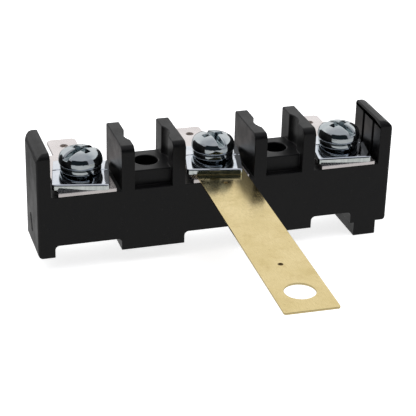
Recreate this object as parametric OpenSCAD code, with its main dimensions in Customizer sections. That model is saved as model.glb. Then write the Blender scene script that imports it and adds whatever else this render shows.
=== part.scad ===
// Dryer terminal block: three screw stations in a row, two mounting pockets between them.
// Origin: midway between the two mounting holes, on the plane of the feet.
// +X runs to the right along the row, +Y to the rear, where the push-on tabs stick out, +Z up.

/* [Block] */
// Thickness of each end wall
end_wall_t = 2.85; // [2.2:0.05:4]
// Clear width of the centre screw station
station_w = 14.8; // [14.6:0.1:18]
// Clear width of each end station
end_station_w = 14.55; // [14.5:0.05:18]
// Thickness of each divider
divider_t = 2.75; // [2.2:0.05:4]
// Clear width of each mounting pocket
pocket_w = 7.95; // [7:0.05:9]
// Depth of the block in front of the screws' row
front_d = 6.6; // [6.3:0.05:7.5]
// Depth of the block behind the screws' row
rear_d = 7.35; // [6.3:0.05:8]
// Height of the terminal deck above the feet
deck_h = 13.5; // [12:0.1:18]
// Height of the walls above the terminal deck
wall_rise = 9.5; // [6:0.1:14]
// Height of the mounting boss above the terminal deck
boss_rise = 3.4; // [1:0.1:5]
// Set-back of the mounting boss from the front face; its rear end lies as far from the hole
boss_setback = 1.7; // [1:0.1:2.2]
// Sideways offset of the screws and terminal plates from the middle of their stations
screw_shift = 0.35; // [0:0.05:0.4]
// Further offset of the end stations' screws and terminal plates, outwards
end_screw_offset = 0.125; // [0:0.025:0.2]

/* [Block edges] */
// Radius of the end walls' outer top edges
end_top_r = 2; // [0.5:0.1:2.1]
// Radius of the end walls' outer rear edges
end_rear_r = 1.9; // [0.2:0.1:2.2]
// Radius of the block's lower corners at its two ends
end_foot_r = 0.9; // [0.2:0.1:1.5]
// Radius of the end walls' outer front edges
end_front_r = 0.7; // [0.2:0.1:1.5]
// Radius of each wall's top front corner
wall_front_r = 1.4; // [0.4:0.1:3]
// Radius of each wall's top rear corner
wall_rear_r = 0.6; // [0.2:0.1:3]
// Radius of the dividers' upright rear edges
divider_rear_r = 0.4; // [0.2:0.1:1]

/* [Underside] */
// Height of the channels under the stations
channel_h = 2.6; // [1:0.1:3]
// Radius of the channels' upper corners
channel_r = 0.9; // [0.2:0.1:1]
// Width of the left foot
left_foot_w = 3.5; // [2.5:0.1:6]
// Width of the locating peg under the right end
peg_w = 5; // [3:0.1:6]
// Distance of the locating peg from the right end
peg_inset = 2.4; // [1:0.1:3]
// Length of the locating peg below the feet
peg_drop = 3.1; // [1:0.1:5]
// Width of the foot's shoulder on the inner side of the locating peg
peg_shoulder = 0.9; // [0.2:0.1:2]

/* [Mounting] */
// Diameter of each mounting hole
mount_hole_d = 5; // [3.5:0.1:5.5]
// Diameter of the room for a screw head and driver above each boss
driver_d = 9.6; // [9:0.1:11]

/* [Right end wall] */
// Width of each of the two grooves on the inner face
groove_w = 1; // [0.4:0.1:1.2]
// Depth of each groove
groove_depth = 0.4; // [0.2:0.05:0.8]
// Distance between the two grooves
groove_pitch = 5.2; // [3:0.1:7]
// Plain height left above the grooves
groove_top_gap = 0.6; // [0.3:0.1:2]

/* [Terminal plates] */
// Mean gap between the centre plate and the walls beside it
plate_side_gap = 1.4; // [1:0.1:2]
// Mean gap between an end plate and the walls beside it
end_plate_side_gap = 1.275; // [1:0.025:2]
// Thickness of a plate
plate_t = 0.8; // [0.5:0.1:1.2]
// Length of the full-width part behind the block
plate_tail = 5.25; // [3:0.05:9]
// Width of the push-on tab
tab_w = 6.3; // [4.8:0.1:8]
// Length of the push-on tab
tab_l = 8.1; // [6:0.1:10]
// Size of the tab's corner chamfers
tab_chamfer = 0.6; // [0.4:0.1:1.6]
// Diameter of the tab's detent hole
tab_hole_d = 1.7; // [1:0.1:2.2]
// Distance of the detent hole from the tab's end
tab_hole_inset = 3.7; // [2:0.1:4]

/* [Clamp plates] */
// Margin of the clamp plate inside the terminal plate, on each side
clamp_side_inset = 0.2; // [0:0.05:1]
// Set-back of the clamp plate from the block's front face
clamp_end_inset = 0.4; // [0:0.1:1]
// Sheet thickness
clamp_t = 1.25; // [0.8:0.05:1.6]
// Radius of the clamp plate's corners
clamp_corner_r = 0.6; // [0.2:0.1:1.2]
// Drop of the clamp plate's edges below its bent middle line
clamp_drop = 0.65; // [0.3:0.05:1.5]
// Turn of the left clamp plate
clamp_turn_left = -12.5; // [-13:0.5:13]
// Turn of the centre clamp plate
clamp_turn_centre = -12.5; // [-13:0.5:13]
// Turn of the right clamp plate
clamp_turn_right = -6.5; // [-13:0.5:13]

/* [Screws] */
// Outer diameter of the thread
shank_d = 4.8; // [4:0.1:5]
// Length under the head
screw_l = 11.1; // [9.5:0.1:12]
// Height of the chamfer at the screw's tip
tip_chamfer = 0.7; // [0.3:0.1:1]
// Diameter of the pan head
head_d = 9.1; // [8:0.1:10]
// Height of the pan head
head_h = 3.4; // [3:0.1:4]
// Radius of the head's upper edge
head_edge_r = 2.6; // [1:0.1:2.8]
// Radius of the head's domed top
head_dome_r = 9; // [7:0.5:20]
// Width of the driver slot and of the cross recess
slot_w = 1.2; // [0.8:0.1:1.6]
// Depth of the driver slot
slot_depth = 1.6; // [0.8:0.1:1.6]
// Span of the cross recess
cross_span = 5; // [3:0.1:6]
// Depth of the cross recess
cross_depth = 2.2; // [1.6:0.1:2.4]
// Direction of the left screw's slot
slot_turn_left = 31; // [-90:1:90]
// Direction of the centre screw's slot
slot_turn_centre = -80; // [-90:1:90]
// Direction of the right screw's slot
slot_turn_right = -67; // [-90:1:90]

/* [Lock washers] */
// Outside diameter
washer_od = 8.5; // [7.5:0.1:9]
// Thickness
washer_t = 1.5; // [0.8:0.1:1.8]
// Width of the split
washer_split = 0.7; // [0.3:0.1:1.2]
// Slant of the split
washer_slant = 25; // [0:1:40]
// Direction of the split from the screw's axis
washer_turn = 285; // [0:1:360]

/* [Nuts] */
// Width across the flats of the square nut
nut_w = 9.5; // [8:0.1:10]
// Height of the nut
nut_h = 3.2; // [2.4:0.1:4]

/* [Ground strap] */
// Width of the strap
strap_w = 10.4; // [8:0.1:12]
// Thickness of the strap
strap_t = 0.4; // [0.3:0.1:1]
// Distance from the screw's axis to the strap's end hole
strap_reach = 56.55; // [30:0.05:80]
// Margin of the strap past its end hole
strap_margin = 6.9; // [5.5:0.1:9]
// Length of the strap behind the screw's axis
strap_tail = 6.6; // [5.5:0.1:9]
// Sideways offset of the strap's middle line from its screw hole
strap_offset = 0.28; // [0:0.02:0.5]
// Diameter of the strap's end hole
strap_hole_d = 5.8; // [4:0.1:7]
// Radius of the strap's corners
strap_corner_r = 0.5; // [0.2:0.1:2]
// Turn of the strap about the screw
strap_turn = -1.55; // [-3:0.05:3]
// Diameter of the two small locating dimples
dimple_d = 0.9; // [0.5:0.1:1.4]
// Depth of the dimples
dimple_depth = 0.2; // [0.1:0.05:0.25]
// Distance of the dimples from the two holes
dimple_gap = 10.25; // [7:0.05:14]

/* [Clearances] */
// Radial gap between a screw and the holes it passes through
hole_gap = 0.25; // [0.15:0.05:0.4]
// Radial running gap between a screw and its nut
thread_gap = 0.05; // [0.02:0.01:0.1]
// Gap between a nut and its pocket on each side
nut_gap = 0.1; // [0.05:0.05:0.3]
// Radial gap round the screw's tip in its well
well_gap = 0.4; // [0.2:0.1:0.8]
// Room below the screw's tip in its well
well_end_gap = 0.9; // [0.4:0.1:1.5]

/* [Hidden] */
$fn = 96;

// Stations by number, with what differs between them
LEFT = 0;
CENTRE = 1;
RIGHT = 2;
STATION_W = [end_station_w, station_w, end_station_w];
PLATE_GAP = [end_plate_side_gap, plate_side_gap, end_plate_side_gap];
CLAMP_TURN = [clamp_turn_left, clamp_turn_centre, clamp_turn_right];
SLOT_TURN = [slot_turn_left, slot_turn_centre, slot_turn_right];
// The strap lies under the centre clamp and lifts that stack by its thickness
STACK_LIFT = [0, strap_t, 0];

// Layout along the row, and the depth across it
pocket_pitch = station_w + 2 * divider_t + pocket_w;
station_pitch = (pocket_pitch + pocket_w + end_station_w) / 2 + divider_t;
end_screw_x = station_pitch + end_screw_offset;
block_w = 2 * (end_wall_t + end_station_w) + station_w + 4 * divider_t + 2 * pocket_w;
station_x = [-station_pitch, 0, station_pitch];
screw_x = [for (x = [-end_screw_x, 0, end_screw_x]) x + screw_shift];
pocket_x = [-pocket_pitch / 2, pocket_pitch / 2];
right_end = block_w / 2;
left_end = -right_end;
block_d = front_d + rear_d;
peg_x = right_end - peg_inset - peg_w;

// Sizes that follow from the fits
boss_d = 2 * (front_d - boss_setback);
plate_w = [for (i = [LEFT, CENTRE, RIGHT]) STATION_W[i] - 2 * PLATE_GAP[i]];
clamp_w = [for (w = plate_w) w - 2 * clamp_side_inset];
clamp_l = 2 * (front_d - clamp_end_inset);
screw_hole_d = shank_d + 2 * hole_gap;
nut_pocket_w = nut_w + 2 * nut_gap;
well_d = shank_d + 2 * well_gap;

// Levels of the stack at a station
wall_top = deck_h + wall_rise;
boss_top = deck_h + boss_rise;
plate_top = deck_h + plate_t;
clamp_tilt = atan(clamp_drop / (clamp_l / 2));
clamp_h = clamp_drop + clamp_t * cos(clamp_tilt);
washer_z = plate_top + clamp_h;
head_z = washer_z + washer_t;
nut_z = deck_h - nut_h;
well_floor = head_z - screw_l - well_end_gap;

// Overlap that fuses the parts of one moulding, and the run-out of cutting shapes
join = 0.2;
over = 1;

// Corner at the origin, body in the +X +Y quarter: what a radius takes off
module corner_off(r) {
    difference() {
        translate([-over, -over]) square(r + over);
        translate([r, r]) circle(r);
    }
}

// Rectangle from the origin with a radius at each corner: near left, near right, far right, far left
module rounded_plate(w, d, r) {
    difference() {
        square([w, d]);
        if (r[0] > 0) corner_off(r[0]);
        if (r[1] > 0) translate([w, 0]) rotate(90) corner_off(r[1]);
        if (r[2] > 0) translate([w, d]) rotate(180) corner_off(r[2]);
        if (r[3] > 0) translate([0, d]) rotate(270) corner_off(r[3]);
    }
}

// Solid of a front-view outline, running through the whole depth
module through_depth() {
    translate([0, rear_d + over, 0])
        rotate([90, 0, 0])
            linear_extrude(block_d + 2 * over) children();
}

// Upright wall from the feet to the wall top; edges lists the radii of its plan
module wall(x, w, edges) {
    intersection() {
        translate([x, -front_d, 0])
            linear_extrude(wall_top) rounded_plate(w, block_d, edges);
        translate([x - join, -front_d, 0])
            rotate([90, 0, 90])
                linear_extrude(w + 2 * join)
                    rounded_plate(block_d, wall_top, [0, 0, wall_rear_r, wall_front_r]);
    }
}

module end_walls() {
    difference() {
        union() {
            wall(left_end, end_wall_t, [end_front_r, 0, 0, end_rear_r]);
            wall(right_end - end_wall_t, end_wall_t, [0, end_front_r, end_rear_r, 0]);
        }
        through_depth() {
            translate([left_end, wall_top]) rotate(270) corner_off(end_top_r);
            translate([right_end, wall_top]) rotate(180) corner_off(end_top_r);
        }
    }
}

module dividers() {
    for (x = pocket_x) {
        for (side = [-1, 1]) {
            middle = x + side * (pocket_w + divider_t) / 2;
            wall(middle - divider_t / 2, divider_t, [0, 0, divider_rear_r, divider_rear_r]);
        }
    }
}

// Solid body under the deck, and the raised boss in each mounting pocket
module base() {
    translate([left_end, -front_d, 0])
        linear_extrude(deck_h)
            rounded_plate(block_w, block_d, [end_front_r, end_front_r, end_rear_r, end_rear_r]);
    for (x = pocket_x) {
        translate([x - pocket_w / 2 - join, -boss_d / 2, deck_h - join])
            cube([pocket_w + 2 * join, boss_d, boss_rise + join]);
    }
    translate([peg_x, -front_d, -peg_drop])
        cube([peg_w, block_d, peg_drop + join]);
}

// Front-view outline of a channel between two X positions
module channel(from_x, to_x) {
    translate([from_x, -over])
        rounded_plate(to_x - from_x, channel_h + over, [0, 0, channel_r, channel_r]);
}

// Channels under the stations, and the rounded lower corners at the ends
module channels() {
    through_depth() {
        translate([left_end, 0]) corner_off(end_foot_r);
        translate([right_end, 0]) rotate(90) corner_off(end_foot_r);
        channel(left_end + left_foot_w, station_x[LEFT] + end_station_w / 2);
        channel(station_x[CENTRE] - station_w / 2, station_x[CENTRE] + station_w / 2);
        channel(station_x[RIGHT] - end_station_w / 2, peg_x - peg_shoulder);
    }
}

module mounting_holes() {
    for (x = pocket_x) {
        translate([x, 0, -over]) cylinder(h = boss_top + 2 * over, d = mount_hole_d);
        translate([x, 0, boss_top]) cylinder(h = wall_top, d = driver_d);
    }
}

module nut_pockets() {
    for (x = screw_x) {
        translate([x - nut_pocket_w / 2, -nut_pocket_w / 2, nut_z])
            cube([nut_pocket_w, nut_pocket_w, nut_h + over]);
        translate([x, 0, well_floor]) cylinder(h = nut_z - well_floor + over, d = well_d);
    }
}

module wall_grooves() {
    for (side = [-1, 1]) {
        translate([right_end - end_wall_t - over, (side * groove_pitch - groove_w) / 2, deck_h])
            cube([groove_depth + over, groove_w, wall_rise - groove_top_gap]);
    }
}

// Moulded body with walls, bosses, feet and locating peg
module housing() {
    color("#232427")
    difference() {
        union() {
            base();
            end_walls();
            dividers();
        }
        channels();
        mounting_holes();
        nut_pockets();
        wall_grooves();
    }
}

// Flat terminal with a push-on tab at the rear
module terminal_plate(i) {
    w = plate_w[i];
    step = rear_d + plate_tail;
    end = step + tab_l;
    color("#cdc6bf")
    translate([screw_x[i], 0, deck_h])
        linear_extrude(plate_t)
            difference() {
                polygon([
                    [-w / 2, -front_d],
                    [w / 2, -front_d],
                    [w / 2, step],
                    [tab_w / 2, step],
                    [tab_w / 2, end - tab_chamfer],
                    [tab_w / 2 - tab_chamfer, end],
                    [-tab_w / 2 + tab_chamfer, end],
                    [-tab_w / 2, end - tab_chamfer],
                    [-tab_w / 2, step],
                    [-w / 2, step]
                ]);
                circle(d = screw_hole_d);
                translate([0, end - tab_hole_inset]) circle(d = tab_hole_d);
            }
}

// Square nut, captive in its pocket under the terminal plate
module square_nut(i) {
    color("#9fa4a8")
    translate([screw_x[i], 0, nut_z])
        difference() {
            translate([-nut_w / 2, -nut_w / 2, 0]) cube([nut_w, nut_w, nut_h]);
            translate([0, 0, -over]) cylinder(h = nut_h + 2 * over, d = shank_d + 2 * thread_gap);
        }
}

// Side view of the clamp plate: two wings that fall away from a bend through the screw hole
module clamp_profile() {
    edge_y = clamp_l / 2;
    edge_h = clamp_t / cos(clamp_tilt);
    ridge_y = clamp_t * sin(clamp_tilt);
    polygon([
        [-edge_y, 0],
        [0, clamp_drop],
        [edge_y, 0],
        [edge_y, edge_h],
        [ridge_y, clamp_h],
        [-ridge_y, clamp_h],
        [-edge_y, edge_h]
    ]);
}

// Plan of what is cut from the bent sheet: the screw hole and the four corners
module clamp_cuts(w) {
    circle(d = screw_hole_d);
    for (turn = [0, 180]) {
        rotate(turn) {
            translate([-w / 2, -clamp_l / 2]) corner_off(clamp_corner_r);
            translate([w / 2, -clamp_l / 2]) rotate(90) corner_off(clamp_corner_r);
        }
    }
}

module clamp_plate(i) {
    w = clamp_w[i];
    color("#b9c1c8")
    translate([screw_x[i], 0, plate_top + STACK_LIFT[i]])
        rotate(CLAMP_TURN[i])
            difference() {
                translate([-w / 2, 0, 0])
                    rotate([90, 0, 90])
                        linear_extrude(w) clamp_profile();
                translate([0, 0, -over]) linear_extrude(clamp_h + 2 * over) clamp_cuts(w);
            }
}

// Split spring washer under the screw head
module lock_washer(i) {
    color("#8e969c")
    translate([screw_x[i], 0, washer_z + STACK_LIFT[i]])
        difference() {
            cylinder(h = washer_t, d = washer_od);
            translate([0, 0, -over]) cylinder(h = washer_t + 2 * over, d = screw_hole_d);
            rotate(washer_turn)
                translate([0, 0, washer_t / 2])
                    rotate([washer_slant, 0, 0])
                        translate([0, -washer_split / 2, -washer_od / 2])
                            cube([washer_od, washer_split, washer_od]);
        }
}

// Half section of the pan head, to be turned about the screw's axis
module head_section() {
    intersection() {
        rounded_plate(head_d / 2, head_h, [0, 0, head_edge_r, 0]);
        translate([0, head_h - head_dome_r]) circle(head_dome_r);
    }
}

// Driver slot right across the head, with a deeper cross recess in the middle
module driver_recess() {
    translate([-head_d, -slot_w / 2, head_h - slot_depth])
        cube([2 * head_d, slot_w, slot_depth + over]);
    for (turn = [0, 90]) {
        rotate(turn)
            translate([-cross_span / 2, -slot_w / 2, head_h - cross_depth])
                cube([cross_span, slot_w, cross_depth + over]);
    }
}

// Pan-head terminal screw
module terminal_screw(i) {
    color("#a9b2b9")
    translate([screw_x[i], 0, head_z + STACK_LIFT[i]])
        rotate(SLOT_TURN[i]) {
            difference() {
                rotate_extrude() head_section();
                driver_recess();
            }
            translate([0, 0, tip_chamfer - screw_l])
                cylinder(h = screw_l - tip_chamfer + join, d = shank_d);
            translate([0, 0, -screw_l])
                cylinder(h = tip_chamfer, d1 = shank_d - 2 * tip_chamfer, d2 = shank_d);
        }
}

// Flat strap from the centre terminal to the cabinet, lying on the centre plate
module ground_strap() {
    color("#cdb067")
    translate([screw_x[CENTRE], 0, plate_top])
        rotate(strap_turn)
            difference() {
                linear_extrude(strap_t)
                    difference() {
                        translate([strap_offset - strap_w / 2, -strap_reach - strap_margin])
                            rounded_plate(
                                strap_w,
                                strap_margin + strap_reach + strap_tail,
                                [strap_corner_r, strap_corner_r, strap_corner_r, strap_corner_r]
                            );
                        circle(d = screw_hole_d);
                        translate([strap_offset, -strap_reach]) circle(d = strap_hole_d);
                    }
                for (y = [-dimple_gap, dimple_gap - strap_reach]) {
                    translate([0, y, strap_t - dimple_depth])
                        cylinder(h = dimple_depth + over, d = dimple_d);
                }
            }
}

housing();
terminal_plate(LEFT);  // terminal_plate_left
terminal_plate(CENTRE);  // terminal_plate_centre
terminal_plate(RIGHT);  // terminal_plate_right
square_nut(LEFT);  // square_nut_left
square_nut(CENTRE);  // square_nut_centre
square_nut(RIGHT);  // square_nut_right
clamp_plate(LEFT);  // clamp_plate_left
clamp_plate(CENTRE);  // clamp_plate_centre
clamp_plate(RIGHT);  // clamp_plate_right
lock_washer(LEFT);  // lock_washer_left
lock_washer(CENTRE);  // lock_washer_centre
lock_washer(RIGHT);  // lock_washer_right
terminal_screw(LEFT);  // terminal_screw_left
terminal_screw(CENTRE);  // terminal_screw_centre
terminal_screw(RIGHT);  // terminal_screw_right
ground_strap();
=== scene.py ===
# %% [markdown]
# # Dryer terminal block
# A black moulded block carries three screw stations in a row. At each one a tinned terminal
# plate lies on the deck, and a pan-head screw with a split lock washer presses a bent clamp
# plate on it. A flat brass strap runs forward from the centre station to the cabinet's ground.
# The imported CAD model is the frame: it says where every piece sits, and this lesson gives each
# piece its edges, its small forms and its finish.

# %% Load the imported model
import math
from functools import partial

import bmesh
import bpy
from mathutils import Matrix, Vector


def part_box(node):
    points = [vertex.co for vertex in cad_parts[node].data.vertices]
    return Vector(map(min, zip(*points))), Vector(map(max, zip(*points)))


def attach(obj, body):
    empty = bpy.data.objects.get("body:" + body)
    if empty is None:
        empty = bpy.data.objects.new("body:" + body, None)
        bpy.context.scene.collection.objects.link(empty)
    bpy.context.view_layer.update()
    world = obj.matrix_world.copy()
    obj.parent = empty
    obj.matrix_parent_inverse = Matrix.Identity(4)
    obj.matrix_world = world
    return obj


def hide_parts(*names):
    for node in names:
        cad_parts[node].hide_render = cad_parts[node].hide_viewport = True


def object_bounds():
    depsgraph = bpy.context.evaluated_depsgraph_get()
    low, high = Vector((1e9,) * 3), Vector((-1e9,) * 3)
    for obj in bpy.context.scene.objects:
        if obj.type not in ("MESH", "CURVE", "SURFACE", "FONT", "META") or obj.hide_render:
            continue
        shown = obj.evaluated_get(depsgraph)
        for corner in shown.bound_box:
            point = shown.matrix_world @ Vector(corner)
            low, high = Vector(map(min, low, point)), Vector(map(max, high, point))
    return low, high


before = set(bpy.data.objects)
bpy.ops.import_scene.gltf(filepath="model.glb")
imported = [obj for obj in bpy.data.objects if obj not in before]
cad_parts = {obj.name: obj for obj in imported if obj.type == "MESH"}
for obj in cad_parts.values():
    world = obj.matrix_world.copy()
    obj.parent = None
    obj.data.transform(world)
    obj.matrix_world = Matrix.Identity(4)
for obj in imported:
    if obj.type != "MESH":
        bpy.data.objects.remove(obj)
cad_low, cad_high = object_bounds()
MM = 0.001
SIDES = ("left", "centre", "right")
print("CAD box in mm:", [round(v / MM, 2) for v in cad_high - cad_low])

# %% [markdown]
# ## Camera
# The photograph was taken from the front left and from above, through a long lens, so that
# parallel edges hardly run together. The angles, the distance and the lens come from fitting
# the straight edges of the block. The axes are built as vectors, because the view also leans
# by a degree and a half.

# %% Camera
TURN_DEG, RISE_DEG, LEAN_DEG = 17.64, 25.93, 1.56
AIM_MM, EYE_AWAY_MM = Vector((0.42, 2.4, 2.92)), 304.9
SENSOR_W, FOCAL_PX, PHOTO_PX = 36.0, 1414.1, 416.0
turn, rise, lean = (math.radians(a) for a in (TURN_DEG, RISE_DEG, LEAN_DEG))
look = Vector((math.sin(turn) * math.cos(rise), math.cos(turn) * math.cos(rise), -math.sin(rise)))
level = Vector((math.cos(turn), -math.sin(turn), 0.0))
upright = level.cross(look)
right = level * math.cos(lean) + upright * math.sin(lean)
up = upright * math.cos(lean) - level * math.sin(lean)
eye = AIM_MM * MM - look * EYE_AWAY_MM * MM

camera = bpy.data.objects.new("camera", bpy.data.cameras.new("camera"))
bpy.context.scene.collection.objects.link(camera)
camera.matrix_world = Matrix.Translation(eye) @ Matrix((right, up, -look)).transposed().to_4x4()
camera.data.sensor_width = SENSOR_W
camera.data.lens = SENSOR_W * FOCAL_PX / PHOTO_PX
camera.data.clip_start, camera.data.clip_end = 0.01, 20.0
bpy.context.scene.camera = camera
bpy.context.scene.view_settings.view_transform = "Standard"
print("camera at mm:", [round(v / MM, 1) for v in eye], "lens", round(camera.data.lens, 1))

# %% [markdown]
# ## Nodes in one line
# Finishes and Geometry Nodes trees are both node trees. The first helper adds one node, sets its
# options, and fills its inputs with numbers or with links, so that a tree reads like a list. The
# others are short forms for arithmetic, for ramps and for mixing two colours.


# %% Node helpers
def node(tree, kind, inputs=None, **options):
    made = tree.nodes.new(kind)
    for key, value in options.items():
        setattr(made, key, value)
    for key, value in (inputs or {}).items():
        if isinstance(value, bpy.types.NodeSocket):
            tree.links.new(value, made.inputs[key])
        else:
            made.inputs[key].default_value = value
    return made


def calc(tree, operation, *values):
    return node(tree, "ShaderNodeMath", dict(enumerate(values)), operation=operation).outputs[0]


def ramp(tree, value, from_low, from_high, to_low=0.0, to_high=1.0, smooth=False):
    limits = {
        "Value": value,
        "From Min": from_low,
        "From Max": from_high,
        "To Min": to_low,
        "To Max": to_high,
    }
    style = "SMOOTHSTEP" if smooth else "LINEAR"
    return node(tree, "ShaderNodeMapRange", limits, interpolation_type=style).outputs[0]


def blend_colours(tree, factor, first, second):
    mix = node(tree, "ShaderNodeMix", {"Factor": factor}, data_type="RGBA")
    ends = [s for s in mix.inputs if s.type == "RGBA"]
    for end, value in zip(ends, (first, second)):
        if isinstance(value, bpy.types.NodeSocket):
            tree.links.new(value, end)
        else:
            end.default_value = (*value, 1)
    return next(s for s in mix.outputs if s.type == "RGBA")


# %% [markdown]
# ## Floor and light
# The block stands on a plain white table in front of a white sweep. Behind the camera the room
# is dark, up to a pale ceiling. That contrast is what makes plated metal look like metal: a
# screw head shows the ceiling on its top, the table on its rim and the dark room as a bar
# between them. The camera always sees white, and the floor still takes a soft shadow.

# %% Floor
floor_mesh = bpy.data.meshes.new("floor")
reach, floor_z = 3.0, cad_low.z
floor_mesh.from_pydata(
    [(-reach, -reach, floor_z), (reach, -reach, floor_z), (reach, reach, floor_z), (-reach, reach, floor_z)],
    [],
    [(0, 1, 2, 3)],
)
floor = bpy.data.objects.new("floor", floor_mesh)
bpy.context.scene.collection.objects.link(floor)
print("floor at mm:", round(floor_z / MM, 2))

# %% Floor finish
FLOOR_GREY, FLOOR_GLOW = 0.86, 0.78
# Shiny faces mirror a nearly even table, dimmer in two corners behind the block
TABLE_SHEEN, CORNER_DIM = (0.64, 0.62), 0.6
# Where that brightness changes, in metres
MIDDLE_SHIFT, ACROSS_Y, BEHIND_Y, ASIDE_X = 0.02, (-0.02, 0.02), (0.028, 0.048), (0.015, 0.035)

table_white = bpy.data.materials.new("table_white")
table_white.use_nodes = True
tree = table_white.node_tree
tree.nodes.clear()
rays = node(tree, "ShaderNodeLightPath")
direct = calc(tree, "MAXIMUM", rays.outputs["Is Camera Ray"], rays.outputs["Is Transmission Ray"])
lit = node(tree, "ShaderNodeBsdfDiffuse", {"Color": (FLOOR_GREY, FLOOR_GREY, FLOOR_GREY, 1)})
glow = node(tree, "ShaderNodeEmission", {"Strength": calc(tree, "MULTIPLY", direct, FLOOR_GLOW)})
white = node(tree, "ShaderNodeAddShader", {0: lit.outputs[0], 1: glow.outputs[0]})
spot = node(tree, "ShaderNodeSeparateXYZ", {0: node(tree, "ShaderNodeTexCoord").outputs["Object"]}).outputs
off_middle = calc(tree, "ABSOLUTE", calc(tree, "ADD", spot["X"], MIDDLE_SHIFT))
at_side = ramp(tree, off_middle, *ASIDE_X, 0.0, CORNER_DIM)
corner = calc(tree, "MULTIPLY", ramp(tree, spot["Y"], *BEHIND_Y), at_side)
open_table = ramp(tree, spot["Y"], *ACROSS_Y, *TABLE_SHEEN)
sheen = calc(tree, "MULTIPLY", open_table, calc(tree, "SUBTRACT", 1.0, corner))
mirrored = node(tree, "ShaderNodeEmission", {"Strength": sheen})
mixed = node(
    tree,
    "ShaderNodeMixShader",
    {0: rays.outputs["Is Glossy Ray"], 1: white.outputs[0], 2: mirrored.outputs[0]},
)
node(tree, "ShaderNodeOutputMaterial", {"Surface": mixed.outputs[0]})
floor_mesh.materials.append(table_white)
print("floor finish nodes:", len(tree.nodes))

# %% World
SWEEP = (0.95, 0.95, 0.95)
WALLS = (0.44, 0.44, 0.47)
CEILING = (0.58, 0.58, 0.61)
DARK_ROOM = (0.014, 0.020, 0.024)
# Half width of the dark side of the room, for each unit towards the camera
DARK_SPREAD = 1.07
# Heights of a direction where one part of the room fades into the next
TABLE_LINE, CEILING_LINE, CEILING_FADE = (0.0, 0.05), (0.83, 0.76), (0.62, 0.92)
# Where the dark room's two edges fade, and where the walls become the sweep behind the block
DARK_EDGE, SWEEP_FADE = (0.06, -0.06), (0.15, -0.25)

world = bpy.data.worlds.new("studio")
bpy.context.scene.world = world
world.use_nodes = True
tree = world.node_tree
tree.nodes.clear()
way = node(tree, "ShaderNodeTexCoord").outputs["Generated"]
high = node(tree, "ShaderNodeSeparateXYZ", {0: way}).outputs["Z"]
to_camera = (-math.sin(turn), -math.cos(turn), 0.0)
ahead_node = node(tree, "ShaderNodeVectorMath", {0: way, 1: to_camera}, operation="DOT_PRODUCT")
aside_node = node(tree, "ShaderNodeVectorMath", {0: way, 1: tuple(level)}, operation="DOT_PRODUCT")
ahead, aside = ahead_node.outputs["Value"], aside_node.outputs["Value"]
spread = calc(tree, "SUBTRACT", calc(tree, "ABSOLUTE", aside), calc(tree, "MULTIPLY", ahead, DARK_SPREAD))
above_table = ramp(tree, high, *TABLE_LINE, smooth=True)
below_ceiling = ramp(tree, high, *CEILING_LINE, smooth=True)
facing = ramp(tree, spread, *DARK_EDGE, smooth=True)
opening = calc(tree, "MULTIPLY", facing, calc(tree, "MULTIPLY", above_table, below_ceiling))
clear = node(tree, "ShaderNodeLightPath").outputs["Is Camera Ray"]
room = blend_colours(tree, ramp(tree, ahead, *SWEEP_FADE, smooth=True), WALLS, SWEEP)
room = blend_colours(tree, ramp(tree, high, *CEILING_FADE, smooth=True), room, CEILING)
room = blend_colours(tree, opening, room, DARK_ROOM)
room_colour = blend_colours(tree, clear, room, (1.0, 1.0, 1.0))
sky = node(tree, "ShaderNodeBackground", {"Color": room_colour, "Strength": 1.0})
node(tree, "ShaderNodeOutputWorld", {"Surface": sky.outputs[0]})
print("room nodes:", len(tree.nodes))


# %% Softboxes
def softbox(name, place_m, size, watts):
    lamp = bpy.data.lights.new(name, "AREA")
    lamp.shape, lamp.size, lamp.size_y, lamp.energy = "RECTANGLE", size[0], size[1], watts
    made = bpy.data.objects.new(name, lamp)
    made.location = place_m
    made.rotation_euler = (-Vector(place_m)).to_track_quat("-Z", "Y").to_euler()
    made.visible_glossy = False
    bpy.context.scene.collection.objects.link(made)


softbox("back_softbox", (-0.25, 0.45, 0.55), (0.5, 0.4), 1.1)
softbox("top_softbox", (0.1, -0.05, 0.7), (0.5, 0.5), 0.9)

# %% [markdown]
# ## Finishes
# Six finishes cover the part: grainy black moulding, the same moulding where it was broken off,
# bright zinc on the screws, washers and nuts, smoother zinc on the clamp plates, satin tin on
# the terminal plates and mill-finish brass on the strap. Each one mixes two close colours by a
# cloudy pattern, lets the roughness wander, and adds a fine bump. All patterns are laid out in
# object coordinates, in metres, so that they stay on a piece when it moves.


# %% Finish helper
def finish(name, metallic, specular, patterns):
    made = bpy.data.materials.new(name)
    made.use_nodes = True
    tree = made.node_tree
    tree.nodes.clear()
    shader = node(tree, "ShaderNodeBsdfPrincipled", {"Metallic": metallic, "Specular IOR Level": specular})
    node(tree, "ShaderNodeOutputMaterial", {"Surface": shader.outputs[0]})
    place = node(tree, "ShaderNodeTexCoord").outputs["Object"]
    patterns(tree, shader, place)
    print(name, "nodes:", len(tree.nodes))
    return made


def noise(tree, place, per_metre, detail=2.0, roughness=0.5, stretch=(1, 1, 1)):
    if stretch != (1, 1, 1):
        place = node(tree, "ShaderNodeMapping", {"Vector": place, "Scale": stretch}).outputs[0]
    wanted = {"Vector": place, "Scale": per_metre, "Detail": detail, "Roughness": roughness}
    return node(tree, "ShaderNodeTexNoise", wanted).outputs[0]


def bump(tree, height, depth_m, strength, below=None):
    inputs = {"Height": height, "Distance": depth_m, "Strength": strength}
    if below is not None:
        inputs["Normal"] = below
    return node(tree, "ShaderNodeBump", inputs).outputs[0]


# %% [markdown]
# ### Black moulding
# The housing is hard black plastic with a faint grain. A picture could carry the grain, but a
# noise pattern has no seams and needs no unwrapping. Two nearly equal blacks, a wandering
# roughness and a little dust keep the big faces from looking painted. Where the plastic was
# broken off it is crumbly: the same recipe has more bump there, and hardly any shine.

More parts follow.
